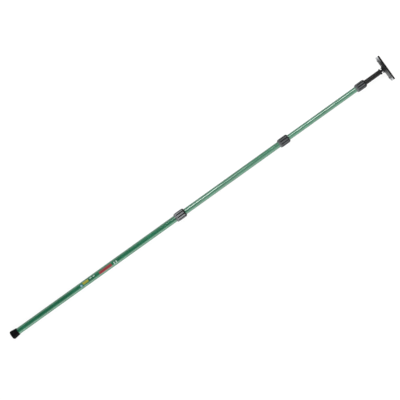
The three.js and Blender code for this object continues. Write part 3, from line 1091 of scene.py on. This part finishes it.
black_tube = tube_lacquer(
    "black_tube",
    rgb(3, 3, 3),
    rgb(7, 7, 7),
    rgb(52, 53, 54),
    high("tip_tube").x,
    0.36,
    Specular_IOR_Level=0.12,
    Coat_Weight=0.15,
    Coat_Roughness=0.15,
)
place_piece(make_foot_cap(), "foot_cap", "foot_rubber")
place_piece(make_foot_plug(), "foot_plug", "inner_plastic")
for tube, haze in (("lower_tube", 0.1), ("second_tube", 0.12), ("third_tube", 0.12)):
    lacquer = tube_lacquer(
        f"green_{tube}",
        GREEN,
        GREEN_PALE,
        BARE_METAL,
        high(tube).x,
        0.34,
        Metallic=0.2,
        Specular_IOR_Level=0.1,
        Coat_Weight=1.0,
        Coat_Roughness=haze,
        Coat_IOR=1.6,
    )
    place_piece(make_tube(tube), tube, "green_tube", lacquer)
place_piece(make_tube("tip_tube"), "tip_tube", "black_tube", black_tube)
make_marks()

for section in ("second", "third", "tip"):
    bush = f"{section}_guide_bush"
    place_piece(make_guide_bush(bush, f"{section}_tube"), bush, "inner_plastic")

# Each lock: name, outer tube, inner tube, the grip's turn in degrees, the ridge colour and the
# groove colour. The ridge colours differ from lock to lock as painted light and shade, and the
# groove colour is painted shade deep in the grooves.
LOCKS = [
    ("lower", "lower_tube", "second_tube", 9, rgb(114, 116, 118), rgb(2, 2, 2)),
    ("middle", "second_tube", "third_tube", 21, rgb(72, 74, 76), rgb(22, 23, 24)),
    ("upper", "third_tube", "tip_tube", -3, rgb(74, 76, 78), rgb(10, 10, 11)),
]
for lock, outer, inner, turn, ridge, groove in LOCKS:
    place_piece(make_lock_body(lock, outer, inner), f"{lock}_lock_body", "grip_plastic")
    place_piece(make_collet(lock, outer, inner), f"{lock}_collet", "inner_plastic")
    collar = make_collar(lock, outer, inner, turn)
    place_piece(collar, f"{lock}_twist_collar", "grip_plastic", grip(lock, ridge, groove))

place_piece(make_tip_end_plug(), "tip_end_plug", "black_fittings")
place_piece(make_pin("yaw_rivet", "z", FORK_OUTER, YAW_X), "yaw_pin", "pin_steel")
place_piece(make_clip("yaw_e_clip", "z", FORK_OUTER, YAW_X), "yaw_pin_clip", "pin_steel")
# The swivel block is paler than the other black fittings as a painted highlight in the pivot's
# slot.
casting_with_painted_highlight = powder_coat("casting_with_painted_highlight", rgb(34, 35, 36), rgb(58, 59, 61), 0.3)
place_piece(make_swivel_block(), "swivel_block", "black_fittings", casting_with_painted_highlight)
place_piece(make_pin("pitch_rivet", "y", CHEEK_OUTER, PITCH_X), "pitch_pin", "pin_steel")
place_piece(make_clip("pitch_e_clip", "y", CHEEK_OUTER, PITCH_X), "pitch_pin_clip", "pin_steel")
# The bracket's back carries the same painted floor reflection and painted shade; its ends_at lies
# beyond its edges.
bracket_coat = coat_with_painted_reflection("bracket_coat", rgb(10, 10, 11), rgb(168, 170, 172), 70)
place_piece(make_head_bracket(), "head_bracket", "black_fittings", bracket_coat)
for number, sides in enumerate(SCREW_PLACES, 1):
    screw = make_screw(number, *sides)
    place_piece(screw, f"bracket_screw_{number}", "pin_steel")
place_piece(make_backing_plate(), "backing_plate", "head_plate")
foam = place_piece(make_foam_pad(), "foam_pad", "foam")
place_piece(make_hook_layer(), "hook_layer", "hook_fabric")
place_piece(make_abrasive(), "abrasive_sheet", "abrasive")

# ------------------------------------------------------------------ floor, light and camera

FLOOR_SIDE = 60.0
FLOOR_GAP = 0.0002
FOOT_TOUCH = 0.004  # where the foot cap meets the floor, from the end of the pole
PAPER = (0.13, 0.15)  # darkest and lightest, under its glow
FLOOR_GLOW = 0.85
VIEW_WIDTH = 1.668  # what the frame takes in at the pole, metres
CAMERA_HEIGHT = 5.8
ROLL = -35.62  # degrees: the pole rises to the upper right
AIM = (0.9678, 0.0033)
DARK_TILT = math.radians(15)  # the darkest part of the room leans towards +Y
HORIZON_STRENGTH = 4.2
OVERHEAD_STRENGTH = 0.04
DARKENING = 1.85  # how fast the room darkens upwards
KEY_PLACE = (1.72, 2.7)  # Y and Z of the strips that the upper two green tubes mirror
STRIP_WIDTH = 0.5
# Place along the pole, length and watts of each strip.
KEY_STRIPS = [(0.96, 0.30, 23), (1.23, 0.24, 7), (1.45, 0.20, 1), (1.95, 0.64, 44)]


def make_floor():
    """Touches the foot cap's rim and the head's lower edge."""
    foot = Vector((FOOT_TOUCH, 0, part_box("foot_cap")[0].z))
    head = Vector((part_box("foam_pad")[0].x, 0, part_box("foam_pad")[0].z))
    slope = (head.z - foot.z) / (head.x - foot.x)
    bm = bmesh.new()
    bmesh.ops.create_grid(bm, x_segments=4, y_segments=4, size=FLOOR_SIDE / 2)
    for v in bm.verts:
        v.co.z = foot.z + slope * (v.co.x - foot.x) - FLOOR_GAP
    mesh = bpy.data.meshes.new("floor")
    bm.to_mesh(mesh)
    bm.free()
    floor = bpy.data.objects.new("floor", mesh)
    bpy.context.scene.collection.objects.link(floor)
    s = Surface("floor_paper", Roughness=0.9, Emission_Strength=FLOOR_GLOW)
    s.shader.inputs["Emission Color"].default_value = (1, 1, 1, 1)
    dark, light = [(shade, shade, shade, 1) for shade in PAPER]
    paper = s.mix(s.noise(3.0, 2.0), dark, light)
    floor.data.materials.append(s.set(Base_Color=paper))


def make_world():
    """White all round, darker overhead, so that the pole's edges are light and its crown dark."""
    world = bpy.data.worlds.new("studio")
    bpy.context.scene.world = world
    world.use_nodes = True
    nodes, links = world.node_tree.nodes, world.node_tree.links
    coordinates = nodes.new("ShaderNodeTexCoord")
    height = nodes.new("ShaderNodeVectorMath")
    height.operation = "DOT_PRODUCT"
    height.inputs[1].default_value = (0, math.sin(DARK_TILT), math.cos(DARK_TILT))
    falling = nodes.new("ShaderNodeMapRange")
    falling.inputs["To Min"].default_value = 1.0
    falling.inputs["To Max"].default_value = 0.0
    curve = nodes.new("ShaderNodeMath")
    curve.operation = "POWER"
    curve.inputs[1].default_value = DARKENING
    strength = nodes.new("ShaderNodeMath")
    strength.operation = "MULTIPLY_ADD"
    strength.inputs[1].default_value = HORIZON_STRENGTH
    strength.inputs[2].default_value = OVERHEAD_STRENGTH
    links.new(coordinates.outputs["Generated"], height.inputs[0])
    links.new(height.outputs["Value"], falling.inputs["Value"])
    links.new(falling.outputs["Result"], curve.inputs[0])
    links.new(curve.outputs["Value"], strength.inputs[0])
    links.new(strength.outputs["Value"], nodes["Background"].inputs["Strength"])
    nodes["Background"].inputs["Color"].default_value = (1, 1, 1, 1)


def softbox(name, place, size_x, size_y, watts):
    """A rectangular light that faces the pole squarely."""
    data = bpy.data.lights.new(name, "AREA")
    data.shape = "RECTANGLE"
    data.size, data.size_y = size_x, size_y
    data.energy = watts
    light = bpy.data.objects.new(name, data)
    light.location = place
    toward = Vector((0, -place[1], -place[2]))
    light.rotation_mode = "QUATERNION"
    light.rotation_quaternion = toward.to_track_quat("-Z", "Y")
    bpy.context.scene.collection.objects.link(light)


def make_camera():
    data = bpy.data.cameras.new("camera")
    data.sensor_width = 36.0
    data.lens = data.sensor_width * CAMERA_HEIGHT / VIEW_WIDTH
    data.clip_end = 100.0
    camera = bpy.data.objects.new("camera", data)
    camera.location = (*AIM, CAMERA_HEIGHT)
    camera.rotation_euler = (0, 0, math.radians(ROLL))
    bpy.context.scene.collection.objects.link(camera)
    bpy.context.scene.camera = camera


make_floor()
make_world()
for number, (x, length, watts) in enumerate(KEY_STRIPS, 1):
    softbox(f"key_strip_{number}", (x, *KEY_PLACE), length, STRIP_WIDTH, watts)
softbox("fill_panel", (1.60, -1.25, 2.75), 1.5, 1.5, 15)
make_camera()
bpy.context.scene.view_settings.view_transform = "Standard"
